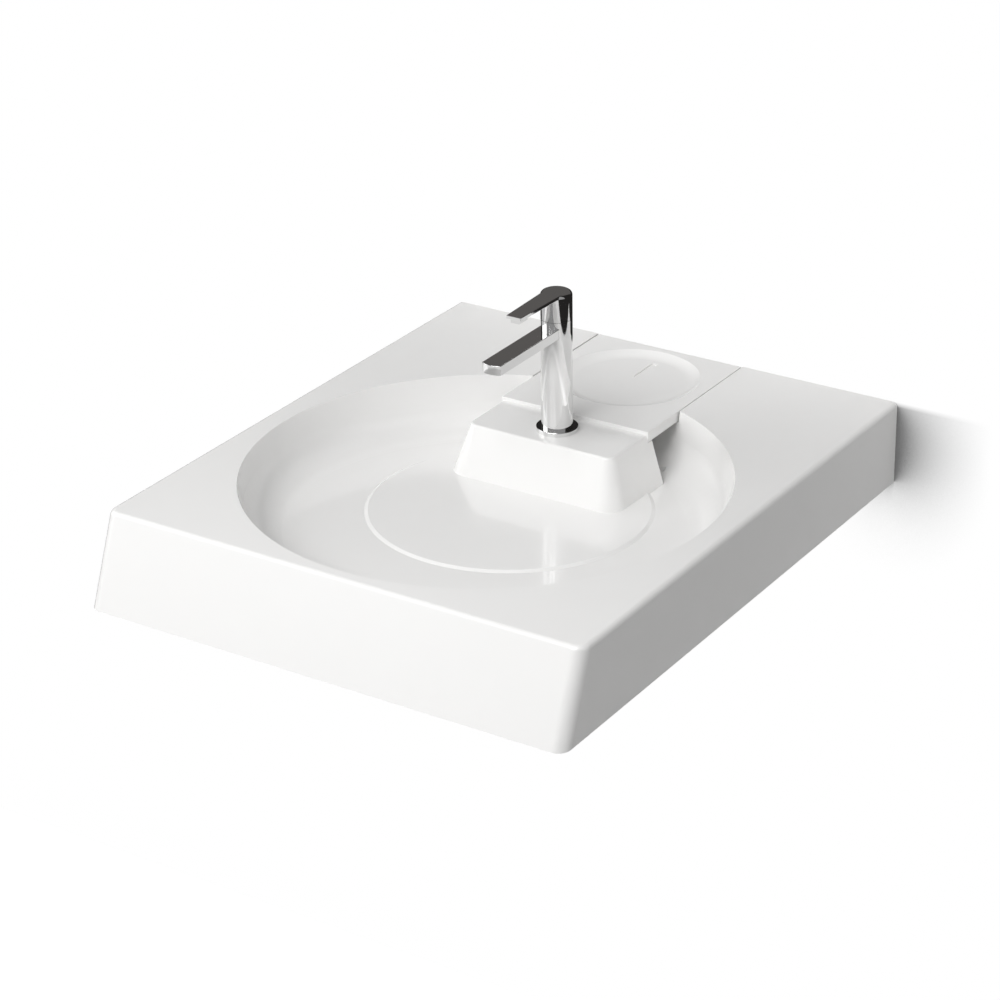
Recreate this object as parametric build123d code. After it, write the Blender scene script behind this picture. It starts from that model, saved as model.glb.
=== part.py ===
from build123d import *
import math
import os

os.makedirs("parts", exist_ok=True)

# Wall-hung basin that stands over a washing machine: a cast slab with a round bowl, a tap island,
# a loose shelf lid over a hidden drain, a lever tap, a waste with its trap, and two wall brackets.
# Millimetres, +Z up, +Y towards the wall, front at -Y. Heights below are taken from the rim of the
# slab; every piece is lowered or raised to the frame of the wall holes when it is written.

# Slab
basin_width = 600.0
basin_depth = 688.0
basin_height = 101.0
apron_flare = 40.0
shell_wall = 12.0
deck_thickness = 14.0
rim_edge_radius = 6.0
front_corner_radius = 14.0
inner_corner_radius = 8.0

# Bowl, a round hollow with a steep wall, a broad blend and a floor that falls to the rear
bowl_radius = 272.0
bowl_centre_y = -402.0
bowl_depth = 61.0
bowl_draft_deg = 12.0
bowl_blend = 42.0
floor_fall_deg = 0.8
floor_disc_radius = 162.0
floor_disc_centre_y = -355.0
floor_disc_rise = 2.2
floor_disc_slope = 4.0

# Shelf lid with its soap dish
lid_width = 195.0
lid_front_y = -217.6
lid_wall_gap = 1.0
lid_gap = 1.7
lid_thickness = 12.0
lid_edge_radius = 1.0
pad_thickness = 1.0
pad_radius = 3.5
pad_centre_x = 62.0
dish_centre_y = -94.0
dish_radius = 83.0
dish_floor_radius = 66.5
dish_depth = 5.5
slot_width = 7.0
slot_length = 46.0
slot_depth = 1.5
slot_centre_y = -57.0

# Tap island
island_drop = 4.0
island_width = 190.0
island_front_y = -293.0
island_side_slope = 0.30
island_front_slope = 0.40
island_corner_top = 10.0
island_corner_base = 25.0
island_top_edge = 3.0
island_shelf = 8.6

# Drain well behind the island
well_width = 110.0
well_back_y = -70.0
well_depth = 68.0
well_corner = 18.0
trough_back_y = -178.0
trough_depth = 64.5
drain_y = -140.0
drain_hole_radius = 22.5
drain_seat_radius = 32.5
drain_seat_depth = 3.5

# Wall brackets
bracket_inset = 65.0
bracket_width = 40.0
bracket_reach = 185.0
bracket_leg = 80.0
bracket_steel = 5.0
gusset_steel = 4.0
bracket_notch_gap = 2.0
wall_hole_radius = 5.0
wall_hole_spacing = 50.0
wall_hole_drop = 60.0
bracket_bolt_y = -120.0
bolt_radius = 4.0
bolt_head_across = 13.0
bolt_head_height = 5.5
washer_radius = 8.5
washer_thickness = 1.6
insert_radius = 5.0
insert_length = 10.0
bolt_hole_gap = 0.4

# Waste
grid_radius = 31.5
grid_thickness = 2.0
grid_hole_radius = 2.6
grid_row_radii = (9.5, 16.5)
grid_row_counts = (6, 12)
tail_radius = 20.0
tail_wall = 2.5
tail_length = 44.0
waste_flange_radius = 32.0
waste_flange_thickness = 3.0
waste_seal_thickness = 3.0
waste_seal_inset = 0.5
waste_screw_radius = 3.0
screw_slot = 1.2
waste_hub_radius = 6.5
waste_hub_height = 8.0
waste_spoke = 4.0

# Trap
collar_wall = 3.6
slip_gap = 0.3
nut_wall = 4.0
nut_grip = 14.0
nut_lip = 4.0
seal_height = 1.7
nut_sides = 12
trap_drop = 32.0
collar_length = 22.0
head_radius = 38.0
head_height = 64.0
trap_wall = 2.6
dip_radius = 17.0
dip_length = 78.0
branch_drop = 23.0
branch_reach = 64.0
pipe_entry = 14.0
pipe_bead = 1.5
pipe_bead_length = 3.0
cup_height = 58.0
cup_overlap = 12.0
cup_seal_height = 2.0
stub_radius = 13.0
stub_reach = 54.0
spigot_radius = 10.0
spigot_length = 30.0
spigot_flange = 2.0
spigot_shoulder = 1.0

# Tap, on the axis x = 0
tap_y = -254.0
tap_hole_radius = 17.5
base_ring_radius = 24.0
base_ring_height = 5.0
base_ring_edge = 0.6
base_seal_mid = 20.5
base_seal_width = 2.8
base_seal_height = 2.0
column_radius = 18.0
column_height = 136.0
tenon_radius = 15.9
tenon_drop = 7.0
fit_gap = 0.1
hose_hole_radius = 4.6
hose_hole_depth = 14.0
port_x = 6.3
port_y = 3.5
port_radius = 2.4
stud_y = -8.5
stud_engagement = 14.0
stud_length = 66.0
horseshoe_radius = 24.0
horseshoe_slot = 25.0
horseshoe_steel = 3.0
horseshoe_pad = 2.5
stud_nut_across = 13.0
stud_nut_height = 6.5

# Spout
spout_width = 24.0
spout_thickness = 11.5
spout_drop = 7.0
spout_reach = 137.0
spout_tip_radius = 20.0
spout_wall = 2.5
spout_edge = 0.5
aerator_setback = 15.0
aerator_radius = 9.5
aerator_depth = 5.4
aerator_ring = 1.5
aerator_seal_height = 0.6
aerator_mesh_height = 3.6
mesh_hole_radius = 1.0
mesh_row_radii = (0, 2.7, 5.4)
mesh_row_counts = (1, 6, 12)

# Handle
cap_height = 32.0
cap_gap = 0.4
cap_wall = 2.5
cap_room = 17.6
cap_edge = 4.5
lever_reach = 88.0
lever_root_width = 23.0
lever_tip_width = 18.5
lever_thickness = 4.0
lever_edge = 0.5
lip_width = 11.0
lip_length = 17.0
lip_setback = 3.0
lip_depth = 5.0
lever_lift_deg = 20.0
grub_radius = 2.5
grub_length = 6.0
grub_drop = 10.5
plug_radius = 3.2
plug_length = 2.8

# Cartridge
chamber_radius = 15.2
cartridge_radius = 14.0
cartridge_wall = 1.0
nut_top_gap = 0.3
cartridge_nut_height = 4.2
cartridge_nut_bore = 9.8
housing_lip = 2.5
neck_radius = 8.6
running_gap = 0.08
free_gap = 0.3
guide_flange = 2.6
carrier_height = 6.0
carrier_width = 14.0
carrier_length = 13.0
carrier_radius = 8.2
rail_width = 1.7
rail_length = 16.0
moving_disc_height = 2.0
fixed_disc_height = 3.0
base_height = 5.0
port_seal_height = 1.2
port_seal_radius = 3.8
pivot_y = 5.0
pivot_rise = 8.0
pivot_radius = 1.6
cheek_rise = 5.0
stem_width = 6.0
stem_depth = 7.0
stem_top_rise = 17.0
stem_root_drop = 7.0
shank_radius = 2.0
ball_radius = 2.4
ball_rise = 3.5
slot_gap = 0.3

# Heights that follow from the sizes above
deck_z = -deck_thickness
floor_z = -basin_height
tap_z = -island_drop
recess_z = -(lid_thickness + pad_thickness)
shelf_back_y = lid_front_y + island_shelf
recess_half = lid_width / 2 + lid_gap
joint_z = tap_z + column_height
bracket_centre_x = basin_width / 2 - bracket_inset
over = 1.0
near = 0.01


def span_box(x0, x1, y0, y1, z0, z1):
    """Box between two corners."""
    middle = Pos((x0 + x1) / 2, (y0 + y1) / 2, (z0 + z1) / 2)
    return middle * Box(abs(x1 - x0), abs(y1 - y0), abs(z1 - z0))


def post(radius, z0, z1):
    """Upright cylinder between two heights."""
    return Pos(0, 0, (z0 + z1) / 2) * Cylinder(radius, abs(z1 - z0))


def ring(outer, inner, z0, z1):
    """Upright tube between two heights."""
    return post(outer, z0, z1) - Pos(0, 0, (z0 + z1) / 2) * Cylinder(inner, abs(z1 - z0) + 2 * over)


def save(name, shape):
    """Write one piece in the frame of the wall holes."""
    export_step(Pos(0, 0, wall_hole_drop) * shape, "parts/" + name + ".step")


# Basin


def slab(side, back, front, top, bottom):
    """The slab's outline between two heights, set in from its faces, its front leaning out."""
    lean = apron_flare / basin_height
    front_at_top = -basin_depth + front + lean * top
    front_at_bottom = -basin_depth + front + lean * bottom
    outline = Polyline((-back, top), (front_at_top, top), (front_at_bottom, bottom),
                       (-back, bottom), close=True)
    return extrude(Plane.YZ * make_face(outline), basin_width / 2 - side, both=True)


def uprights(body):
    """Edges that climb more than they run."""
    return [e for e in body.edges() if abs(e.tangent_at(0.5).Z) > 0.5]


def outer_slab():
    """The slab with its rounded front corners and rim."""
    body = slab(0, 0, 0, 0, floor_z)
    body = fillet([e for e in uprights(body) if e.center().Y < -basin_depth / 2],
                  front_corner_radius)
    rim = [e for e in body.edges() if abs(e.center().Z) < near and e.center().Y < -over]
    return fillet(rim, rim_edge_radius)


def bowl_form(grow):
    """The bowl's hollow, or the outside of its shell when grown by the wall."""
    slope = math.tan(math.radians(bowl_draft_deg))
    deep = 2 * bowl_depth
    side = grow / math.cos(math.radians(bowl_draft_deg))
    profile = Polyline((0, over), (bowl_radius + side + over * slope, over),
                       (bowl_radius + side - deep * slope, -deep), (0, -deep), close=True)
    hollow = revolve(Plane.XZ * make_face(profile), Axis.Z)
    below = Rot(-floor_fall_deg, 0, 0) * Box(3 * bowl_radius, 3 * bowl_radius, 2 * deep,
                                             align=(Align.CENTER, Align.CENTER, Align.MAX))
    hollow -= Pos(0, 0, -bowl_depth - grow) * below
    foot = [e for e in hollow.edges() if e.geom_type != GeomType.LINE and e.center().Z < -over]
    hollow = fillet(foot, bowl_blend + grow)
    return Pos(0, bowl_centre_y, 0) * hollow


def floor_disc():
    """The low round plateau in the bowl's floor."""
    sink = bowl_depth / 4
    crest = floor_disc_radius - floor_disc_slope
    profile = Polyline((0, -sink), (floor_disc_radius, -sink), (floor_disc_radius, 0),
                       (crest, floor_disc_rise), (0, floor_disc_rise), close=True)
    disc = revolve(Plane.XZ * make_face(profile), Axis.Z)
    seat = math.tan(math.radians(floor_fall_deg)) * (floor_disc_centre_y - bowl_centre_y)
    return Pos(0, floor_disc_centre_y, -bowl_depth - seat) * Rot(-floor_fall_deg, 0, 0) * disc


def island_outline(z, inset, rear_y, corner):
    """One level of the tap island: straight at the rear, rounded at its two front corners."""
    drop = tap_z - z
    half = island_width / 2 - inset + island_side_slope * drop
    front = island_front_y + inset - island_front_slope * drop
    face = make_face(Polyline((-half, rear_y), (-half, front), (half, front), (half, rear_y),
                              close=True))
    corners = face.vertices().group_by(Axis.Y)[0]
    return Pos(0, 0, z) * fillet(corners, corner)


def island():
    """The block that carries the tap."""
    foot_z = -bowl_depth - well_corner / 2
    block = loft([island_outline(foot_z, 0, shelf_back_y, island_corner_base).face(),
                  island_outline(tap_z, 0, shelf_back_y, island_corner_top).face()])
    crest = [e for e in block.edges() if abs(e.center().Z - tap_z) < near
             and e.center().Y < shelf_back_y - over]
    return fillet(crest, island_top_edge)


def island_hollow():
    """The room under the island for the tap's fixing, open below."""
    top_z = tap_z - shell_wall
    rear_y = shelf_back_y - shell_wall
    return loft([island_outline(floor_z - over, shell_wall, rear_y, island_corner_base).face(),
                 island_outline(top_z, shell_wall, rear_y, island_corner_top).face()])


def drain_well():
    """The well behind the island and the trough that leads into it from both sides."""
    well = span_box(-well_width / 2, well_width / 2, shelf_back_y, well_back_y,
                    -well_depth, recess_z + over)
    upright = well.edges().filter_by(Axis.Z).group_by(Axis.Y)[-1]
    well = fillet(upright, well_corner)
    floor_edges = [e for e in well.edges() if abs(e.center().Z + well_depth) < near
                   and e.center().Y > shelf_back_y + over]
    well = fillet(floor_edges, well_corner / 2)
    trough = span_box(-recess_half, recess_half, shelf_back_y, trough_back_y,
                      -trough_depth, recess_z + over)
    return well + trough


def drain_seat():
    """Hole and flange seat of the waste."""
    hole = post(drain_hole_radius, -well_depth - 2 * shell_wall, -well_depth + over)
    seat = post(drain_seat_radius, -well_depth - drain_seat_depth, -well_depth + over)
    return Pos(0, drain_y, 0) * (hole + seat)


def well_shell():
    """Walls and floor under the lid's recess, the well and the trough."""
    side = recess_half + shell_wall
    front = shelf_back_y - shell_wall
    ledge = span_box(-side, side, front, -over, recess_z - shell_wall, -over)
    tub = span_box(-well_width / 2 - shell_wall, well_width / 2 + shell_wall, front,
                   well_back_y + shell_wall, -well_depth - shell_wall, -over)
    gutter = span_box(-side, side, front, trough_back_y + shell_wall,
                      -trough_depth - shell_wall, -over)
    return ledge + tub + gutter


def bracket_notches():
    """Cuts in the rear wall that the two brackets' legs stand in."""
    half = bracket_width / 2 + bracket_notch_gap
    cuts = []
    for side in (-1, 1):
        x = side * bracket_centre_x
        cuts.append(span_box(x - half, x + half, -shell_wall - over, over, floor_z - over, deck_z))
    return cuts


def insert_holes():
    """Blind holes in the deck's underside for the threaded inserts."""
    deep = insert_length + over
    return [Pos(side * bracket_centre_x, bracket_bolt_y, 0)
            * post(insert_radius, deck_z - over, deck_z + deep) for side in (-1, 1)]


def basin():
    """The whole casting."""
    cavity = slab(shell_wall, shell_wall, shell_wall, deck_z, floor_z - over)
    cavity = fillet(uprights(cavity), inner_corner_radius)
    cavity = cavity - bowl_form(shell_wall) - well_shell()
    water = bowl_form(0) - island() - floor_disc()
    body = outer_slab() - cavity - water
    body -= span_box(-recess_half, recess_half, lid_front_y, over, recess_z, over)
    body = body - drain_well() - drain_seat() - island_hollow()
    body -= Pos(0, tap_y, 0) * post(tap_hole_radius, tap_z - 2 * shell_wall, over)
    for cut in bracket_notches() + insert_holes():
        body -= cut
    return body


def lid():
    """The shelf lid with its sunk dish and slot."""
    half = lid_width / 2
    plate = span_box(-half, half, lid_front_y, -lid_wall_gap, -lid_thickness, 0)
    plate = fillet(plate.edges().group_by(Axis.Z)[-1], lid_edge_radius)
    run = dish_radius - dish_floor_radius
    curve = (run ** 2 + dish_depth ** 2) / (2 * dish_depth)
    middle = (dish_floor_radius, curve - dish_depth)
    bend = math.asin(run / curve)
    half_way = (middle[0] + curve * math.sin(bend / 2), middle[1] - curve * math.cos(bend / 2))
    outline = Line((0, -dish_depth), (dish_floor_radius, -dish_depth))
    outline += ThreePointArc((dish_floor_radius, -dish_depth), half_way, (dish_radius, 0))
    outline += Polyline((dish_radius, 0), (dish_radius, over), (0, over), (0, -dish_depth))
    dish = revolve(Plane.XZ * make_face(outline), Axis.Z)
    slot = Pos(0, slot_centre_y, -dish_depth) * extrude(
        Rot(0, 0, 90) * SlotOverall(slot_length, slot_width), -slot_depth)
    return plate - Pos(0, dish_centre_y, 0) * dish - slot


def lid_pads():
    """Four soft pads between the lid and its ledges."""
    front = (lid_front_y + shelf_back_y) / 2
    back = well_back_y / 2
    places = [(side * pad_centre_x, y) for side in (-1, 1) for y in (front, back)]
    return Compound([Pos(x, y, 0) * post(pad_radius, recess_z, -lid_thickness) for x, y in places])


# Wall brackets


def bracket(side):
    """Pressed steel angle with two edge gussets, on one side of the basin."""
    half = bracket_width / 2
    bottom = deck_z - bracket_leg
    leg = span_box(-half, half, -bracket_steel, 0, bottom, deck_z)
    arm = span_box(-half, half, -bracket_reach, 0, deck_z - bracket_steel, deck_z)
    web = make_face(Polyline((-bracket_steel / 2, bottom + bracket_steel),
                             (-bracket_steel / 2, deck_z - bracket_steel / 2),
                             (-bracket_reach + bracket_steel, deck_z - bracket_steel / 2),
                             (-bracket_reach + bracket_steel, deck_z - 2 * bracket_steel),
                             (-2 * bracket_steel, bottom + bracket_steel), close=True))
    body = leg + arm
    for x in (-half, half - gusset_steel):
        body += Pos(x, 0, 0) * extrude(Plane.YZ * web, gusset_steel)
    for step in (-1, 1):
        hole = Rot(90, 0, 0) * Cylinder(wall_hole_radius, 4 * bracket_steel)
        body -= Pos(0, 0, -wall_hole_drop + step * wall_hole_spacing / 2) * hole
    body -= Pos(0, bracket_bolt_y, 0) * post(bolt_radius + bolt_hole_gap, bottom, over)
    return Pos(side * bracket_centre_x, 0, 0) * body


def both_brackets(piece):
    """The same small piece at both bracket bolts."""
    return Compound([Pos(side * bracket_centre_x, bracket_bolt_y, 0) * piece for side in (-1, 1)])


def bracket_bolts():
    """Hexagon bolts that hold the basin down on the brackets."""
    seat = deck_z - bracket_steel - washer_thickness
    head = Pos(0, 0, seat - bolt_head_height) * extrude(
        RegularPolygon(bolt_head_across / 2, 6, major_radius=False), bolt_head_height)
    return both_brackets(head + post(bolt_radius, seat - over, deck_z + insert_length - over))


def bracket_washers():
    """Washers under the bolt heads."""
    top = deck_z - bracket_steel
    return both_brackets(ring(washer_radius, bolt_radius + bolt_hole_gap,
                              top - washer_thickness, top))


def deck_inserts():
    """Brass threaded inserts cast into the deck."""
    return both_brackets(ring(insert_radius, bolt_radius, deck_z, deck_z + insert_length))


# Waste

seat_z = -well_depth - drain_seat_depth
grid_top_z = -well_depth
well_under_z = -well_depth - shell_wall
flange_top_z = well_under_z - waste_seal_thickness
tail_end_z = flange_top_z - tail_length


def at_drain(shape):
    """Place a piece on the drain's axis."""
    return Pos(0, drain_y, 0) * shape


def waste_grid():
    """Round strainer plate."""
    plate = post(grid_radius, grid_top_z - grid_thickness, grid_top_z)
    plate = fillet(plate.edges().group_by(Axis.Z)[-1], grid_thickness / 3)
    for row_radius, count in zip(grid_row_radii, grid_row_counts):
        for place in PolarLocations(row_radius, count):
            plate -= place * post(grid_hole_radius, grid_top_z - 2 * grid_thickness, over)
    plate -= post(waste_screw_radius + bolt_hole_gap, grid_top_z - 2 * grid_thickness, over)
    return at_drain(plate)


def waste_screw():
    """Central screw that draws the grid and the waste body together."""
    head = Pos(0, 0, grid_top_z + grid_thickness / 2) * Cone(
        2 * waste_screw_radius, 1.4 * waste_screw_radius, grid_thickness)
    head -= span_box(-2 * waste_screw_radius, 2 * waste_screw_radius, -screw_slot / 2, screw_slot / 2,
                     grid_top_z + grid_thickness / 2, grid_top_z + 2 * grid_thickness)
    shank = post(waste_screw_radius, well_under_z - waste_hub_height - waste_seal_thickness,
                 grid_top_z + grid_thickness / 4)
    return at_drain(head + shank)


def waste_top_seal():
    """Flat rubber ring under the grid."""
    return at_drain(ring(grid_radius - waste_seal_inset, drain_hole_radius + over, seat_z,
                         grid_top_z - grid_thickness))


def waste_under_seal():
    """Rubber ring under the well's floor."""
    return at_drain(ring(waste_flange_radius, drain_hole_radius + over, flange_top_z,
                         well_under_z))


def waste_body():
    """Flanged tail with the spider that the central screw turns into."""
    tail = ring(tail_radius, tail_radius - tail_wall, tail_end_z, well_under_z + shell_wall / 2)
    flange = ring(waste_flange_radius, tail_radius - tail_wall,
                  flange_top_z - waste_flange_thickness, flange_top_z)
    hub_z = well_under_z - waste_hub_height
    hub = post(waste_hub_radius, hub_z, well_under_z)
    reach = tail_radius - tail_wall / 2
    for turn in (0, 90):
        hub += Rot(0, 0, turn) * span_box(-reach, reach, -waste_spoke / 2, waste_spoke / 2,
                                          hub_z, well_under_z)
    hub -= post(waste_screw_radius, hub_z - over, well_under_z + over)
    return at_drain(tail + flange + hub)


# Trap

collar_radius = tail_radius + slip_gap + collar_wall
collar_top_z = flange_top_z - trap_drop
head_top_z = collar_top_z - collar_length
head_bottom_z = head_top_z - head_height
branch_z = head_top_z - branch_drop
spigot_stop = seal_height + spigot_flange + nut_wall / 2 + over
cup_radius = head_radius + slip_gap + trap_wall


def coupling_nut():
    """Ribbed nut over a collar whose mouth is at height 0."""
    outer = extrude(RegularPolygon(collar_radius + nut_wall + over, nut_sides), nut_grip + nut_lip)
    outer = Pos(0, 0, seal_height - nut_grip) * outer
    outer -= post(collar_radius + slip_gap, -nut_grip - over, seal_height)
    return outer - post(tail_radius + slip_gap, -over, nut_lip + 2 * over + seal_height)


def coupling_seal():
    """Rubber ring between a collar's mouth and its nut."""
    return ring(collar_radius - slip_gap, tail_radius, 0, seal_height)


inlet_place = Pos(0, drain_y, collar_top_z)
outlet_place = Pos(0, drain_y + branch_reach, branch_z) * Rot(-90, 0, 0)
spigot_place = Pos(stub_reach, drain_y, branch_z) * Rot(0, 90, 0)


def trap_head():
    """Upper half of the trap: inlet collar, dip tube, outlet branch and the stub for a hose."""
    shell = post(head_radius, head_bottom_z, head_top_z)
    collar = post(collar_radius, head_top_z - over, collar_top_z)
    branch = Pos(0, 0, branch_z) * Rot(-90, 0, 0) * post(collar_radius, 0, branch_reach)
    stub = Pos(0, 0, branch_z) * Rot(0, 90, 0) * post(stub_radius, 0, stub_reach)
    body = shell + collar + branch + stub
    body -= post(head_radius - trap_wall, head_bottom_z - over, head_top_z - trap_wall)
    body -= Pos(0, 0, branch_z) * Rot(-90, 0, 0) * post(tail_radius + slip_gap, 0,
                                                       branch_reach + over)
    body -= Pos(0, 0, branch_z) * Rot(0, 90, 0) * post(spigot_radius, 0, stub_reach + over)
    dip = ring(dip_radius, dip_radius - trap_wall, head_top_z - dip_length, head_top_z)
    body += dip
    body -= post(dip_radius - trap_wall, head_top_z - dip_length - over, collar_top_z + over)
    body -= post(tail_radius + slip_gap, head_top_z, collar_top_z + over)
    return at_drain(body)


def trap_cup():
    """Lower cup, screwed over the head."""
    top = head_bottom_z + cup_overlap
    body = post(cup_radius, top - cup_height, top)
    body = fillet(body.edges().group_by(Axis.Z)[0], 3 * trap_wall)
    body -= post(head_radius + slip_gap, head_bottom_z - cup_seal_height, top + over)
    body -= post(head_radius - 2 * trap_wall, top - cup_height + trap_wall, top)
    rib = span_box(cup_radius - over, cup_radius + over, -over, over,
                   head_bottom_z - cup_overlap, top)
    for place in PolarLocations(0, nut_sides):
        body += place * rib
    return at_drain(body)


def trap_cup_seal():
    """Rubber ring between the head and the cup."""
    return at_drain(ring(head_radius, head_radius - 2 * trap_wall,
                         head_bottom_z - cup_seal_height, head_bottom_z))


def outlet_pipe():
    """Pipe from the trap to the wall, with a bead behind its nut."""
    end = -drain_y - branch_reach
    pipe = ring(tail_radius, tail_radius - tail_wall, -pipe_entry, end)
    start = seal_height + nut_lip + 2 * over
    pipe += ring(tail_radius + pipe_bead, tail_radius - tail_wall, start, start + pipe_bead_length)
    return outlet_place * pipe


def hose_spigot():
    """Nozzle for the washing machine's drain hose, with a shoulder that the hose stops at."""
    flange = post(stub_radius, seal_height, seal_height + spigot_flange)
    root = post(spigot_radius + spigot_shoulder, seal_height, spigot_stop)
    nozzle = post(spigot_radius, seal_height, spigot_stop + spigot_length)
    bore = post(spigot_radius - tail_wall, 0, spigot_stop + spigot_length + over)
    return spigot_place * (flange + root + nozzle - bore)


def spigot_seal():
    """Rubber ring behind the nozzle's flange."""
    return spigot_place * ring(stub_radius - slip_gap, spigot_radius, 0, seal_height)


def spigot_nut():
    """Nut that holds the nozzle on its stub."""
    top = spigot_stop - over
    outer = extrude(RegularPolygon(stub_radius + nut_wall, nut_sides), nut_grip)
    outer = Pos(0, 0, top - nut_grip) * outer
    outer -= post(stub_radius + slip_gap, top - nut_grip - over, seal_height + spigot_flange)
    return spigot_place * (outer - post(spigot_radius + spigot_shoulder + slip_gap, 0, top + over))


# Tap

ring_top_z = tap_z + base_ring_height
spout_top_z = joint_z - spout_drop
spout_under_z = spout_top_z - spout_thickness
nut_top_z = joint_z - nut_top_gap
housing_top_z = nut_top_z - cartridge_nut_height
guide_top_z = housing_top_z - housing_lip - free_gap
guide_under_z = guide_top_z - guide_flange
carrier_top_z = guide_under_z - free_gap
carrier_z = carrier_top_z - carrier_height
moving_z = carrier_z - moving_disc_height
fixed_z = moving_z - fixed_disc_height
base_z = fixed_z - base_height
seat_face_z = base_z - port_seal_height
pivot_z = joint_z + pivot_rise
ball_z = carrier_z + ball_rise
cap_bottom_z = joint_z + cap_gap
cap_top_z = joint_z + cap_height
ports = ((-port_x, port_y), (port_x, port_y))

# The lever's lower end swings from one side of the axis to the other over the whole lift.
lift = math.radians(lever_lift_deg)
arm = pivot_z - ball_z
ball_y = (arm * math.sin(lift) - pivot_y * (1 - math.cos(lift))) / (1 + math.cos(lift))
disc_travel = 2 * ball_y
print("disc travel mm", round(disc_travel, 3), "ratio m/rad", round(disc_travel / lift / 1000, 6))


def at_tap(shape):
    """Place a piece on the tap's axis."""
    return Pos(0, tap_y, 0) * shape


def spout_blade():
    """Flat bar of the spout with its rounded tip, before it is hollowed."""
    half = spout_width / 2
    sag = spout_tip_radius - math.sqrt(spout_tip_radius ** 2 - half ** 2)
    shoulder = -spout_reach + sag
    outline = Polyline((-half, shoulder), (-half, 0), (half, 0), (half, shoulder))
    outline += ThreePointArc((half, shoulder), (0, -spout_reach), (-half, shoulder))
    blade = Pos(0, 0, spout_under_z) * extrude(make_face(outline), spout_thickness)
    long_edges = [e for e in blade.edges() if abs(e.center().Z - spout_top_z) < near
                  or abs(e.center().Z - spout_under_z) < near]
    long_edges = [e for e in long_edges if e.center().Y < -over]
    return fillet(long_edges, spout_edge)


def tap_body():
    """Column and spout in one casting, with its inlets, chamber and waterway."""
    body = post(column_radius, ring_top_z, joint_z) + spout_blade()
    body += post(tenon_radius, ring_top_z - tenon_drop, ring_top_z + over)
    body -= post(chamber_radius, seat_face_z, joint_z + over)
    foot = ring_top_z - tenon_drop
    for x, y in ports:
        body -= Pos(x, y, 0) * post(hose_hole_radius, foot - over, foot + hose_hole_depth)
        body -= Pos(x, y, 0) * post(port_radius, foot, seat_face_z + over)
    body -= Pos(0, stud_y, 0) * post(bolt_radius, foot - over, foot + stud_engagement)
    mouth_y = -spout_reach + aerator_setback
    half = spout_width / 2 - 1.6 * spout_wall
    body -= span_box(-half, half, mouth_y, -column_radius + 2 * spout_wall,
                     spout_under_z + spout_wall, spout_top_z - spout_wall)
    deep = aerator_depth + aerator_seal_height
    body -= Pos(0, mouth_y, 0) * post(aerator_radius, spout_under_z - over, spout_under_z + deep)
    return at_tap(body)


def tap_base_ring():
    """Flange under the column, grooved for its seal."""
    body = ring(base_ring_radius, tenon_radius + fit_gap, tap_z, ring_top_z)
    crest = [e for e in body.edges().group_by(Axis.Z)[-1] if e.radius > column_radius]
    body = fillet(crest, base_ring_edge)
    groove = ring(base_seal_mid + base_seal_width / 2 + fit_gap,
                  base_seal_mid - base_seal_width / 2 - fit_gap, tap_z - over,
                  tap_z + base_seal_height)
    return at_tap(body - groove)


def base_seal():
    """Rubber ring in the flange's groove."""
    return at_tap(ring(base_seal_mid + base_seal_width / 2, base_seal_mid - base_seal_width / 2,
                       tap_z, tap_z + base_seal_height))


island_under_z = tap_z - shell_wall
pad_under_z = island_under_z - horseshoe_pad
plate_under_z = pad_under_z - horseshoe_steel


def horseshoe(z0, z1):
    """U-shaped plate between two heights, open to the rear for the two hoses."""
    body = post(horseshoe_radius, z0, z1)
    body -= span_box(-horseshoe_slot / 2, horseshoe_slot / 2, stud_y + 2 * bolt_radius - over,
                     2 * horseshoe_radius, z0 - over, z1 + over)
    return body - Pos(0, stud_y, 0) * post(bolt_radius + bolt_hole_gap, z0 - over, z1 + over)


def horseshoe_rubber():
    """Rubber pad under the island."""
    return at_tap(horseshoe(pad_under_z, island_under_z))


def horseshoe_plate():
    """Steel plate that clamps the tap down."""
    return at_tap(horseshoe(plate_under_z, pad_under_z))


def fixing_stud():
    """Threaded rod from the tap's foot down through the island."""
    top = ring_top_z - tenon_drop + stud_engagement
    return at_tap(Pos(0, stud_y, 0) * post(bolt_radius, top - stud_length, top))


def stud_nut():
    """Long nut under the plate."""
    body = Pos(0, 0, plate_under_z - stud_nut_height) * extrude(
        RegularPolygon(stud_nut_across / 2, 6, major_radius=False), stud_nut_height)
    body -= post(bolt_radius, plate_under_z - stud_nut_height - over, plate_under_z + over)
    return at_tap(Pos(0, stud_y, 0) * body)


def at_mouth(shape):
    """Place a piece in the spout's mouth."""
    return Pos(0, tap_y - spout_reach + aerator_setback, spout_under_z) * shape


def aerator_housing():
    """Threaded ring flush in the spout's underside."""
    return at_mouth(ring(aerator_radius, aerator_radius - aerator_ring, 0, aerator_depth))


def aerator_insert():
    """Honeycomb disc inside the ring."""
    low = over / 2
    body = post(aerator_radius - aerator_ring, low, low + aerator_mesh_height)
    for row_radius, count in zip(mesh_row_radii, mesh_row_counts):
        for place in PolarLocations(row_radius, count):
            body -= place * post(mesh_hole_radius, low - over, low + aerator_mesh_height + over)
    return at_mouth(body)


def aerator_seal():
    """Flat ring above the aerator."""
    return at_mouth(ring(aerator_radius, aerator_radius - aerator_ring, aerator_depth,
                         aerator_depth + aerator_seal_height))


# Cartridge


def cartridge_housing():
    """Plastic sleeve with a lip above and an outlet window at the front."""
    body = ring(cartridge_radius, cartridge_radius - cartridge_wall, seat_face_z, housing_top_z)
    body += ring(cartridge_radius, neck_radius + running_gap, housing_top_z - housing_lip,
                 housing_top_z)
    window = span_box(-port_radius, port_radius, -cartridge_radius - over, 0,
                      base_z + over, fixed_z)
    return at_tap(body - window)


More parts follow.
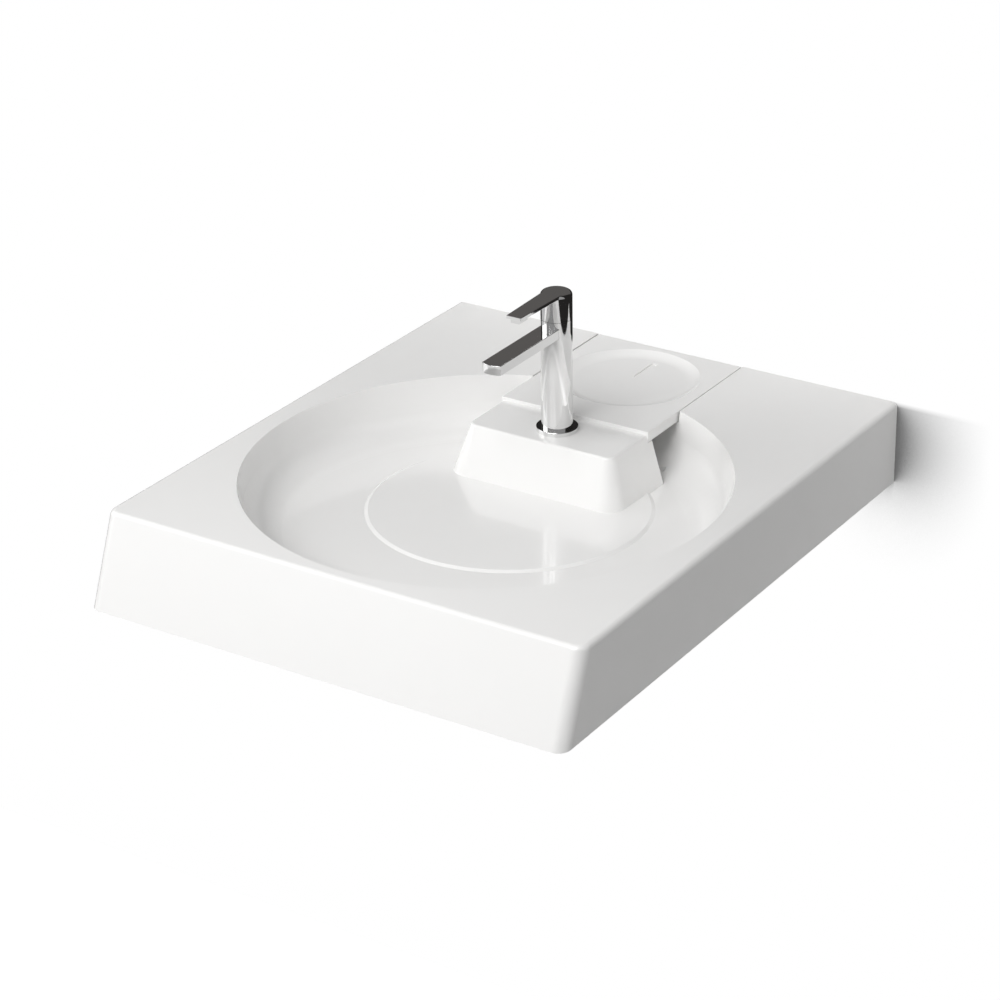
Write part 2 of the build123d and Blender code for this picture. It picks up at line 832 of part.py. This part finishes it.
def cartridge_base():
    """Disc with the two inlet ports and the outlet channel."""
    body = post(cartridge_radius - cartridge_wall, base_z, fixed_z)
    for x, y in ports:
        body -= Pos(x, y, 0) * post(port_radius, base_z - over, fixed_z + over)
    body -= span_box(-port_radius, port_radius, -cartridge_radius, -carrier_radius / 4,
                     base_z + over, fixed_z + over)
    return at_tap(body)


def port_seals():
    """Rubber rings between the base's two inlets and the casting."""
    return Compound([Pos(x, y + tap_y, 0) * ring(port_seal_radius, port_radius, seat_face_z, base_z)
                     for x, y in ports])


def fixed_disc():
    """Ceramic disc that stays, with two inlets and an outlet."""
    body = post(cartridge_radius - cartridge_wall, fixed_z, moving_z)
    for x, y in ports + ((0, -carrier_radius / 2),):
        body -= Pos(x, y, 0) * post(port_radius, fixed_z - over, moving_z + over)
    return at_tap(body)


def carrier_form(z0, z1):
    """Outline shared by the carrier and the moving disc, at rest behind the axis."""
    body = span_box(-carrier_width / 2, carrier_width / 2, -carrier_length / 2,
                    carrier_length / 2, z0, z1)
    return Pos(0, ball_y, 0) * (body & post(carrier_radius, z0, z1))


def moving_disc():
    """Ceramic disc that slides, hollowed underneath to join the ports."""
    body = carrier_form(moving_z, carrier_z)
    body -= Pos(0, ball_y, 0) * span_box(-carrier_width / 3, carrier_width / 3,
                                         -carrier_length / 4, carrier_length / 4, moving_z - over,
                                         moving_z + moving_disc_height / 2)
    return at_tap(body)


def disc_carrier():
    """Plastic slider that the lever's lower end pushes."""
    body = carrier_form(carrier_z, carrier_top_z)
    socket = post(ball_radius + slot_gap, ball_z - ball_radius - slot_gap, carrier_top_z + over)
    return at_tap(body - Pos(0, ball_y, 0) * socket)


def stem_guide():
    """Turning sleeve: a flange with two rails below and two cheeks above that hold the pin."""
    body = post(cartridge_radius - cartridge_wall - free_gap, guide_under_z, guide_top_z)
    body += post(neck_radius, guide_under_z, pivot_z + cheek_rise)
    for side in (-1, 1):
        inner = side * (carrier_width / 2 + free_gap)
        body += span_box(inner, inner + side * rail_width, -rail_length / 2, rail_length / 2,
                         carrier_z + over, guide_under_z + over)
    half = stem_width / 2 + slot_gap
    body -= span_box(-half, half, -2 * neck_radius, 2 * neck_radius, guide_top_z + over,
                     pivot_z + 2 * cheek_rise)
    room = ball_y + ball_radius + 2 * slot_gap
    body -= span_box(-ball_radius - slot_gap, ball_radius + slot_gap, -room, room,
                     guide_under_z - over, guide_top_z + 2 * over)
    pin = Pos(0, pivot_y, pivot_z) * Rot(0, 90, 0) * Cylinder(pivot_radius, 4 * neck_radius)
    return at_tap(body - pin)


def pivot_pin():
    """Steel pin through the cheeks and the stem."""
    length = 2 * math.sqrt(neck_radius ** 2 - pivot_y ** 2) - slot_gap
    return at_tap(Pos(0, pivot_y, pivot_z) * Rot(0, 90, 0) * Cylinder(pivot_radius, length))


def cartridge_stem():
    """Lever stem: a square post above the pin and a ball-ended shank below it."""
    top = pivot_z + stem_top_rise
    bottom = pivot_z - stem_root_drop
    body = Pos(0, pivot_y, 0) * span_box(-stem_width / 2, stem_width / 2, -stem_depth / 2,
                                         stem_depth / 2, bottom, top)
    body += Pos(0, ball_y, 0) * post(shank_radius, ball_z, bottom + over)
    body += Pos(0, ball_y, ball_z) * Sphere(ball_radius)
    hole = Rot(0, 90, 0) * Cylinder(pivot_radius + running_gap, 2 * stem_width)
    return at_tap(body - Pos(0, pivot_y, pivot_z) * hole)


def cartridge_nut():
    """Brass ring nut that holds the cartridge down."""
    body = ring(chamber_radius, cartridge_nut_bore, housing_top_z, nut_top_z)
    for place in PolarLocations(0, 4):
        body -= place * span_box(cartridge_nut_bore - over, chamber_radius - cap_wall,
                                 -port_radius / 2, port_radius / 2,
                                 nut_top_z - cartridge_nut_height / 2, nut_top_z + over)
    return at_tap(body)


# Handle


def lever_plate():
    """Flat tapered lever with the small lip under its tip."""
    root = lever_root_width / 2
    tip = lever_tip_width / 2
    back = column_radius - 2 * cap_edge
    outline = make_face(Polyline((-root, back), (root, back), (root, -column_radius),
                                 (tip, -lever_reach), (-tip, -lever_reach),
                                 (-root, -column_radius), close=True))
    plate = Pos(0, 0, cap_top_z - lever_thickness) * extrude(outline, lever_thickness)
    lip_front = -lever_reach + lip_setback
    lip = span_box(-lip_width / 2, lip_width / 2, lip_front, lip_front + lip_length,
                   cap_top_z - lever_thickness - lip_depth, cap_top_z - lever_thickness / 2)
    outer = [e for e in plate.edges() if e.center().Y < -column_radius + over]
    return fillet(outer, lever_edge) + lip


def handle_relief():
    """What the cap's rear edge must lose so that it clears the column when the lever is up."""
    size = 6 * column_radius
    below = Pos(0, 0, joint_z + cap_gap - size / 2) * Box(size, size, size)
    turn_back = Pos(0, pivot_y, pivot_z) * Rot(lever_lift_deg, 0, 0) * Pos(0, -pivot_y, -pivot_z)
    return turn_back * below


def handle():
    """Cap and lever in one casting, hollow over the cartridge."""
    cap = post(column_radius, cap_bottom_z, cap_top_z)
    cap = fillet(cap.edges().group_by(Axis.Z)[-1], cap_edge)
    body = cap + lever_plate()
    body -= post(column_radius - cap_wall, cap_bottom_z - over, cap_bottom_z + cap_room)
    body -= Pos(0, pivot_y, 0) * span_box(-stem_width / 2, stem_width / 2, -stem_depth / 2,
                                          stem_depth / 2, cap_bottom_z, pivot_z + stem_top_rise)
    across = Pos(0, 0, cap_top_z - grub_drop) * Rot(-90, 0, 0)
    body -= across * post(grub_radius, pivot_y, column_radius + over)
    body -= across * post(plug_radius, column_radius - plug_length, column_radius + over)
    return at_tap(body - handle_relief())


def handle_screw():
    """Grub screw against the stem, from the rear."""
    start = pivot_y + stem_depth / 2
    screw = post(grub_radius, start, start + grub_length)
    screw -= Pos(0, 0, start + grub_length) * extrude(
        RegularPolygon(grub_radius / 2, 6), -grub_length / 2)
    return at_tap(Pos(0, 0, cap_top_z - grub_drop) * Rot(-90, 0, 0) * screw)


def index_plug():
    """Small plug over the grub screw."""
    plug = post(plug_radius, column_radius - plug_length, column_radius + over)
    plug &= Rot(90, 0, 0) * Cylinder(column_radius, 2 * cap_height)
    return at_tap(Pos(0, 0, cap_top_z - grub_drop) * Rot(-90, 0, 0) * plug)


pieces = {
    "basin": basin,
    "shelf_lid": lid,
    "lid_pads": lid_pads,
    "bracket_bolts": bracket_bolts,
    "bracket_washers": bracket_washers,
    "deck_inserts": deck_inserts,
    "waste_grid": waste_grid,
    "waste_screw": waste_screw,
    "waste_top_seal": waste_top_seal,
    "waste_under_seal": waste_under_seal,
    "waste_body": waste_body,
    "trap_head": trap_head,
    "trap_cup": trap_cup,
    "trap_cup_seal": trap_cup_seal,
    "outlet_pipe": outlet_pipe,
    "hose_spigot": hose_spigot,
    "spigot_seal": spigot_seal,
    "spigot_nut": spigot_nut,
    "tap_body": tap_body,
    "tap_base_ring": tap_base_ring,
    "base_seal": base_seal,
    "horseshoe_rubber": horseshoe_rubber,
    "horseshoe_plate": horseshoe_plate,
    "fixing_stud": fixing_stud,
    "stud_nut": stud_nut,
    "aerator_housing": aerator_housing,
    "aerator_insert": aerator_insert,
    "aerator_seal": aerator_seal,
    "cartridge_housing": cartridge_housing,
    "cartridge_base": cartridge_base,
    "port_seals": port_seals,
    "fixed_disc": fixed_disc,
    "moving_disc": moving_disc,
    "disc_carrier": disc_carrier,
    "stem_guide": stem_guide,
    "pivot_pin": pivot_pin,
    "cartridge_stem": cartridge_stem,
    "cartridge_nut": cartridge_nut,
    "handle": handle,
    "handle_screw": handle_screw,
    "index_plug": index_plug,
}
for name, make in pieces.items():
    save(name, make())
for side, name in ((-1, "bracket_left"), (1, "bracket_right")):
    save(name, bracket(side))
for place, name in ((inlet_place, "inlet"), (outlet_place, "outlet")):
    save(name + "_nut", place * coupling_nut())
    save(name + "_seal", place * coupling_seal())
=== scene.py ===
import math

import bpy
from mathutils import Matrix, Vector


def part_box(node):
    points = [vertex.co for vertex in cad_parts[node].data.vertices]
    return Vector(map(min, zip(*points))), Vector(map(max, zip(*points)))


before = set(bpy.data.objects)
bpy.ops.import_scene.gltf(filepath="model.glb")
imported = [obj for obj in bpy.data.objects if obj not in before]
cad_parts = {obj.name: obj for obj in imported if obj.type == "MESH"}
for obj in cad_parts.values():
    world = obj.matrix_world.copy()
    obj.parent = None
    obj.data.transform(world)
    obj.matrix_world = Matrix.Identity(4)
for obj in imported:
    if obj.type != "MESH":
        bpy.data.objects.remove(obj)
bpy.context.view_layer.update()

# Basin slab. One casting of resin and stone flour under a glossy white gel coat, with the bowl,
# the island under the tap and the drain well in one piece. It hangs on two wall brackets.


class Wire:
    """One output of a node; arithmetic on it adds Math nodes."""

    def __init__(self, net, socket):
        self.net = net
        self.socket = socket

    def sum_up(self, operation, first, second):
        return self.net.node("ShaderNodeMath", {"operation": operation}, {0: first, 1: second})

    def __add__(self, other):
        return self.sum_up("ADD", self, other)

    def __radd__(self, other):
        return self.sum_up("ADD", other, self)

    def __sub__(self, other):
        return self.sum_up("SUBTRACT", self, other)

    def __rsub__(self, other):
        return self.sum_up("SUBTRACT", other, self)

    def __mul__(self, other):
        return self.sum_up("MULTIPLY", self, other)

    def __rmul__(self, other):
        return self.sum_up("MULTIPLY", other, self)


class Net:
    """The nodes of a finish or of the room's light."""

    def __init__(self, tree):
        self.tree = tree

    def node(self, kind, settings, inputs, output=0):
        made = self.tree.nodes.new(kind)
        for key, value in settings.items():
            setattr(made, key, value)
        for key, value in inputs.items():
            if isinstance(value, Wire):
                self.tree.links.new(value.socket, made.inputs[key])
            else:
                made.inputs[key].default_value = value
        return Wire(self, made.outputs[output])

    def show(self, wire, end):
        """Make a shader the one that is seen."""
        self.tree.links.new(wire.socket, self.tree.nodes[end].inputs["Surface"])


class Finish(Net):
    """A material for one kind of surface, with its Principled shader."""

    def __init__(self, name, **settings):
        self.material = bpy.data.materials.new(name)
        self.material.use_nodes = True
        super().__init__(self.material.node_tree)
        self.shader = self.tree.nodes["Principled BSDF"]
        for socket, value in settings.items():
            self.shader.inputs[socket.replace("_", " ")].default_value = value

    def place(self, stretch=(1, 1, 1)):
        """Position on the piece in metres, stretched."""
        where = self.node("ShaderNodeTexCoord", {}, {}, "Object")
        return self.node("ShaderNodeVectorMath", {"operation": "MULTIPLY"}, {0: where, 1: stretch})

    def noise(self, scale, detail=2.0, stretch=(1, 1, 1)):
        return self.node("ShaderNodeTexNoise", {}, {"Vector": self.place(stretch), "Scale": scale,
                                                    "Detail": detail})

    def feed(self, socket, wire):
        self.tree.links.new(wire.socket, self.shader.inputs[socket])

    def tint(self, share, low, high):
        """Base colour between low and high."""
        self.feed("Base Color", self.node("ShaderNodeMix", {"data_type": "RGBA"},
                                          {"Factor": share, 6: low + (1,), 7: high + (1,)}, 2))

    def roughen(self, share, smooth, spread):
        """Roughness from smooth up, by a spread."""
        self.feed("Roughness", smooth + share * spread)

    def bump(self, height, distance):
        self.feed("Normal", self.node("ShaderNodeBump", {}, {"Height": height, "Strength": 1.0,
                                                             "Distance": distance}))


def dress(finish, *names):
    """Give CAD pieces a finish."""
    for name in names:
        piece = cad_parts[name]
        piece.data.materials.clear()
        piece.data.materials.append(finish.material)


gel_coat = Finish("gel_coat", IOR=1.5, Coat_Roughness=0.04, Coat_IOR=1.5)
gel_coat.tint(gel_coat.noise(scale=5.0, detail=3.0), low=(0.885, 0.881, 0.872),
              high=(0.905, 0.901, 0.893))
gel_coat.roughen(gel_coat.noise(scale=60.0, detail=4.0), smooth=0.16, spread=0.10)
coat_least = 0.25
coat_spread = 0.15
gel_coat.feed("Coat Weight", coat_least + gel_coat.noise(scale=18.0) * coat_spread)
gel_coat.bump(gel_coat.noise(scale=900.0), distance=0.00002)
dress(gel_coat, "basin")

# Shelf lid and its pads. The lid is cast like the basin and lies loose over the drain well on
# four clear silicone pads, glued in its corners underneath.
dress(gel_coat, "shelf_lid")
silicone = Finish("silicone", Roughness=0.35, IOR=1.41)
silicone.tint(silicone.noise(scale=300.0), low=(0.70, 0.71, 0.71), high=(0.78, 0.79, 0.79))
silicone.bump(silicone.noise(scale=1500.0), distance=0.00003)
dress(silicone, "lid_pads")

# Tap. Brass castings turned and polished, then chromed: the column with its spout, the flange
# under it, the handle's cap with its lever, and the aerator's ring.
chrome = Finish("chrome", Metallic=1.0)
chrome.tint(chrome.noise(scale=40.0), low=(0.80, 0.80, 0.80), high=(0.84, 0.84, 0.84))
chrome.roughen(chrome.noise(scale=350.0, detail=3.0), smooth=0.025, spread=0.03)
chrome.bump(chrome.noise(scale=2500.0, detail=1.0), distance=0.000002)
dress(chrome, "tap_body", "tap_base_ring", "handle", "aerator_housing")

# Small moulded and rubber pieces of the tap and trap. Grey acetal and nylon with a fine mould
# grain, and black rubber rings pressed between the faces that they seal.
grey_plastic = Finish("grey_plastic", IOR=1.47)
grey_plastic.tint(grey_plastic.noise(scale=80.0), low=(0.50, 0.51, 0.52), high=(0.58, 0.59, 0.60))
grey_plastic.roughen(grey_plastic.noise(scale=500.0, detail=3.0), smooth=0.38, spread=0.15)
grey_plastic.bump(grey_plastic.noise(scale=1800.0), distance=0.00004)
dress(grey_plastic, "aerator_insert", "cartridge_housing", "cartridge_base", "disc_carrier",
      "stem_guide", "index_plug", "inlet_nut", "outlet_nut", "spigot_nut")
rubber = Finish("rubber", IOR=1.5)
rubber.tint(rubber.noise(scale=200.0), low=(0.018, 0.018, 0.018), high=(0.045, 0.045, 0.045))
rubber.roughen(rubber.noise(scale=700.0), smooth=0.55, spread=0.2)
rubber.bump(rubber.noise(scale=2200.0), distance=0.00005)
dress(rubber, "aerator_seal", "base_seal", "horseshoe_rubber", "port_seals", "waste_top_seal",
      "waste_under_seal", "inlet_seal", "outlet_seal", "spigot_seal", "trap_cup_seal")

# Cartridge discs, stem and nuts. Lapped white ceramic, and turned brass with fine tool rings
# round the turning axis.
ceramic = Finish("ceramic", IOR=1.76)
ceramic.tint(ceramic.noise(scale=900.0), low=(0.84, 0.83, 0.80), high=(0.90, 0.89, 0.87))
ceramic.roughen(ceramic.noise(scale=1200.0), smooth=0.12, spread=0.1)
dress(ceramic, "fixed_disc", "moving_disc")
brass = Finish("brass", Metallic=1.0)
tool_rings = brass.noise(scale=1400.0, stretch=(0.15, 0.15, 3.0))
brass.tint(brass.noise(scale=60.0), low=(0.70, 0.52, 0.24), high=(0.80, 0.63, 0.32))
brass.roughen(tool_rings, smooth=0.22, spread=0.2)
brass.bump(tool_rings, distance=0.00003)
dress(brass, "cartridge_stem", "cartridge_nut", "stud_nut", "deck_inserts")

# Steel. The strainer, its screw and the pins are polished stainless steel; the brackets and the
# tap's clamp are pressed steel, zinc plated, with the faint spangle of the plating.
stainless = Finish("stainless", Metallic=1.0)
brushing = stainless.noise(scale=900.0, detail=3.0, stretch=(1.0, 0.06, 1.0))
stainless.tint(brushing, low=(0.66, 0.66, 0.67), high=(0.78, 0.78, 0.79))
stainless.roughen(brushing, smooth=0.16, spread=0.14)
stainless.bump(brushing, distance=0.00001)
dress(stainless, "waste_grid", "waste_screw", "pivot_pin", "handle_screw")
zinc = Finish("zinc", Metallic=1.0)
spangle = zinc.node("ShaderNodeTexVoronoi", {}, {"Vector": zinc.place(), "Scale": 260.0}, "Color")
spangle = zinc.node("ShaderNodeSeparateColor", {}, {0: spangle})
zinc.tint(spangle, low=(0.52, 0.54, 0.57), high=(0.68, 0.70, 0.72))
zinc_smooth = 0.30
spangle_spread = 0.12
handling_spread = 0.08
handling = zinc.noise(scale=400.0)
zinc.feed("Roughness", zinc_smooth + spangle * spangle_spread + handling * handling_spread)
zinc.bump(zinc.noise(scale=700.0, detail=3.0), distance=0.00003)
dress(zinc, "bracket_left", "bracket_right", "bracket_bolts", "bracket_washers",
      "horseshoe_plate", "fixing_stud")

# Waste and trap. White polypropylene mouldings with a slightly waxy surface, pushed and screwed
# together under the drain and led to the wall.
white_plastic = Finish("white_plastic", IOR=1.49)
white_plastic.tint(white_plastic.noise(scale=30.0), low=(0.79, 0.79, 0.78), high=(0.84, 0.84, 0.83))
white_plastic.roughen(white_plastic.noise(scale=250.0, detail=3.0), smooth=0.28, spread=0.12)
white_plastic.bump(white_plastic.noise(scale=1200.0), distance=0.00003)
dress(white_plastic, "waste_body", "trap_head", "trap_cup", "outlet_pipe", "hose_spigot")

# Floor. A pale floor far below the basin, painted matt white. It shows as white to the camera,
# with a faint shadow left on it.
floor_z = -0.95
floor_half = 6.0
floor_lift = 0.66
wall_behind = 0.001
white = (1, 1, 1, 1)


def panel(name, corners, faces):
    """Flat stage piece from its corners."""
    mesh = bpy.data.meshes.new(name)
    mesh.from_pydata(corners, [], faces)
    piece = bpy.data.objects.new(name, mesh)
    bpy.context.scene.collection.objects.link(piece)
    return piece


def matt_white(name):
    """Matt white paint for the room."""
    paint = Finish(name, Roughness=0.9, Specular_IOR_Level=0.0)
    paint.shader.inputs["Base Color"].default_value = (0.86, 0.86, 0.86, 1)
    return paint, Wire(paint, paint.shader.outputs[0])


def glowing(paint, strength):
    return paint.node("ShaderNodeEmission", {}, {"Color": white, "Strength": strength})


def mixed(paint, share, first, second):
    return paint.node("ShaderNodeMixShader", {}, {0: share, 1: first, 2: second})


floor = panel("floor", [(-floor_half, -floor_half, floor_z), (floor_half, -floor_half, floor_z),
                        (floor_half, wall_behind, floor_z), (-floor_half, wall_behind, floor_z)],
              [(0, 1, 2, 3)])
paint, matt = matt_white("floor_white")
seen = paint.node("ShaderNodeLightPath", {}, {}, "Is Camera Ray")
glow = mixed(paint, seen, glowing(paint, 0.0), glowing(paint, floor_lift))
paint.show(paint.node("ShaderNodeAddShader", {}, {0: matt, 1: glow}), "Material Output")
floor.data.materials.append(paint.material)

# Wall. White, with an opening that the basin's back covers, and clear from behind. A painted
# shadow darkens its glow where the basin's right side stands close, under the rim, as if the light
# fell from the left.
wall_side = 3.0
wall_top = 0.30
opening_inset = 0.012
shadow_reach = 0.12
shadow_depth = 1.85
shadow_darkest = 0.12
shadow_start = 150.0


def rising(distance, slope):
    """0 up to the edge, then up to 1."""
    return distance.net.node("ShaderNodeMath", {"operation": "MULTIPLY", "use_clamp": True},
                             {0: distance, 1: slope})


def outline(left, right, bottom, top, y):
    """Corners of an upright rectangle."""
    return [(left, y, bottom), (right, y, bottom), (right, y, top), (left, y, top)]


low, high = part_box("basin")
outer = outline(-wall_side, wall_side, floor_z, wall_top, wall_behind)
inner = outline(low.x + opening_inset, high.x - opening_inset, low.z + opening_inset,
                high.z - opening_inset, wall_behind)
wall = panel("wall", outer + inner, [(0, 1, 5, 4), (1, 2, 6, 5), (2, 3, 7, 6), (3, 0, 4, 7)])
paint, matt = matt_white("wall_white")
open_share = paint.node("ShaderNodeAmbientOcclusion", {"samples": 16}, {"Distance": shadow_reach},
                        "AO")
spot = paint.node("ShaderNodeNewGeometry", {}, {}, "Position")
across = paint.node("ShaderNodeSeparateXYZ", {}, {0: spot}, 0)
upward = paint.node("ShaderNodeSeparateXYZ", {}, {0: spot}, 2)
slab_height = high.z - low.z
under_rim = rising(high.z - upward, shadow_start)
over_foot = rising(upward - (low.z - 2 * slab_height), 1 / slab_height)
right_side = rising(across - (high.x - slab_height), 1 / slab_height)
# Painted shadow: ambient occlusion near the basin's right side, under the rim, dims the white glow
# that the camera sees.
painted_shadow_glow = 1.0 - under_rim * over_foot * right_side * shadow_depth * (1.0 - open_share)
painted_shadow_glow = paint.node("ShaderNodeMath", {"operation": "MAXIMUM"}, {0: painted_shadow_glow, 1: shadow_darkest})
glow = mixed(paint, painted_shadow_glow, glowing(paint, 0.0), glowing(paint, 1.0))
seen = paint.node("ShaderNodeLightPath", {}, {}, "Is Camera Ray")
behind = paint.node("ShaderNodeNewGeometry", {}, {}, "Backfacing")
clear = paint.node("ShaderNodeBsdfTransparent", {}, {})
paint.show(mixed(paint, behind, mixed(paint, seen, matt, glow), clear), "Material Output")
wall.data.materials.append(paint.material)

# Dark cards, which only reflections see, so that the chrome has something dark to show. One
# covers the wall, one gives a paler patch on it, and one lies right of the basin.
card_tone = (1.0, 0.95, 0.92, 1)
card_gap = 0.0008
card_top = 4.0
card_level = 0.02
patch_level = 0.11
patch_left, patch_right = -0.8, 0.10
patch_bottom, patch_top = 0.30, 0.75
side_gap = 0.01
side_z = low.z + 0.02


def dark_card(name, corners, level):
    """Surface that only reflections see."""
    card = panel(name, corners, [(0, 1, 2, 3)])
    card.visible_camera = False
    card.visible_diffuse = False
    card.visible_shadow = False
    card.visible_transmission = False
    paint = Finish(name, Roughness=1.0, Specular_IOR_Level=0.0, Emission_Strength=level)
    paint.shader.inputs["Base Color"].default_value = (0, 0, 0, 1)
    paint.shader.inputs["Emission Color"].default_value = card_tone
    card.data.materials.append(paint.material)


dark_card("card_rear", outline(-floor_half, floor_half, floor_z, card_top, -card_gap), card_level)
dark_card("card_mirror", outline(patch_left, patch_right, patch_bottom, patch_top, -2 * card_gap),
          patch_level)
dark_card("card_right", [(high.x + side_gap, -floor_half, side_z), (floor_half, -floor_half, side_z),
                         (floor_half, 0, side_z), (high.x + side_gap, 0, side_z)], card_level)

# Light. Two broad soft lamps, from the front and the left, and an even pale surround that shows
# as white to the camera.
world_level = 0.31
lamp_size = 1.8
lamp_far = 2.6
front_power = 49.0
left_power = 20.0
middle = Vector((0, -0.36, 0.02))
front_way = Vector((0.00, -0.676, 0.735)).normalized()
left_way = Vector((-0.85, -0.35, 0.40)).normalized()


def soft_lamp(name, way, power):
    """Square area lamp, turned to the middle of the basin."""
    lamp = bpy.data.lights.new(name, "AREA")
    lamp.shape = "SQUARE"
    lamp.size = lamp_size
    lamp.energy = power
    piece = bpy.data.objects.new(name, lamp)
    bpy.context.scene.collection.objects.link(piece)
    piece.location = middle + way * lamp_far
    piece.rotation_euler = (middle - piece.location).to_track_quat("-Z", "Y").to_euler()


soft_lamp("front_lamp", front_way, front_power)
soft_lamp("left_lamp", left_way, left_power)
world = bpy.data.worlds.new("studio")
bpy.context.scene.world = world
world.use_nodes = True
sky = Net(world.node_tree)
seen = sky.node("ShaderNodeLightPath", {}, {}, "Is Camera Ray")
seen_through = sky.node("ShaderNodeLightPath", {}, {}, "Is Transmission Ray")
either = sky.node("ShaderNodeMath", {"operation": "MAXIMUM"}, {0: seen, 1: seen_through})
pale = sky.node("ShaderNodeBackground", {}, {"Color": white, "Strength": world_level})
bright = sky.node("ShaderNodeBackground", {}, {"Color": white, "Strength": 1.0})
sky.show(mixed(sky, either, pale, bright), "World Output")

# Camera. A long lens to the right of the basin and above it, at the photograph's angle, aimed at
# the island.
lens_to_width = 3.0965
sensor_width = 36.0
azimuth = math.radians(33.17)
elevation = math.radians(25.86)
roll = math.radians(-0.93)
camera_far = 3.462
camera_left = 0.0397
camera_down = 0.0668
target = Vector((0, -0.300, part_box("shelf_lid")[1].z))
back = Vector((math.sin(azimuth) * math.cos(elevation), -math.cos(azimuth) * math.cos(elevation),
               math.sin(elevation)))
level = Vector((math.cos(azimuth), math.sin(azimuth), 0))
rise = back.cross(level)
right = math.cos(roll) * level + math.sin(roll) * rise
up = math.cos(roll) * rise - math.sin(roll) * level
camera_data = bpy.data.cameras.new("camera")
camera_data.sensor_width = sensor_width
camera_data.lens = sensor_width * lens_to_width
camera_data.clip_end = 100.0
camera = bpy.data.objects.new("camera", camera_data)
bpy.context.scene.collection.objects.link(camera)
camera.matrix_world = Matrix((right, up, back)).transposed().to_4x4()
camera.location = target - camera_left * right - camera_down * up + camera_far * back
bpy.context.scene.camera = camera
bpy.context.scene.view_settings.view_transform = "Standard"
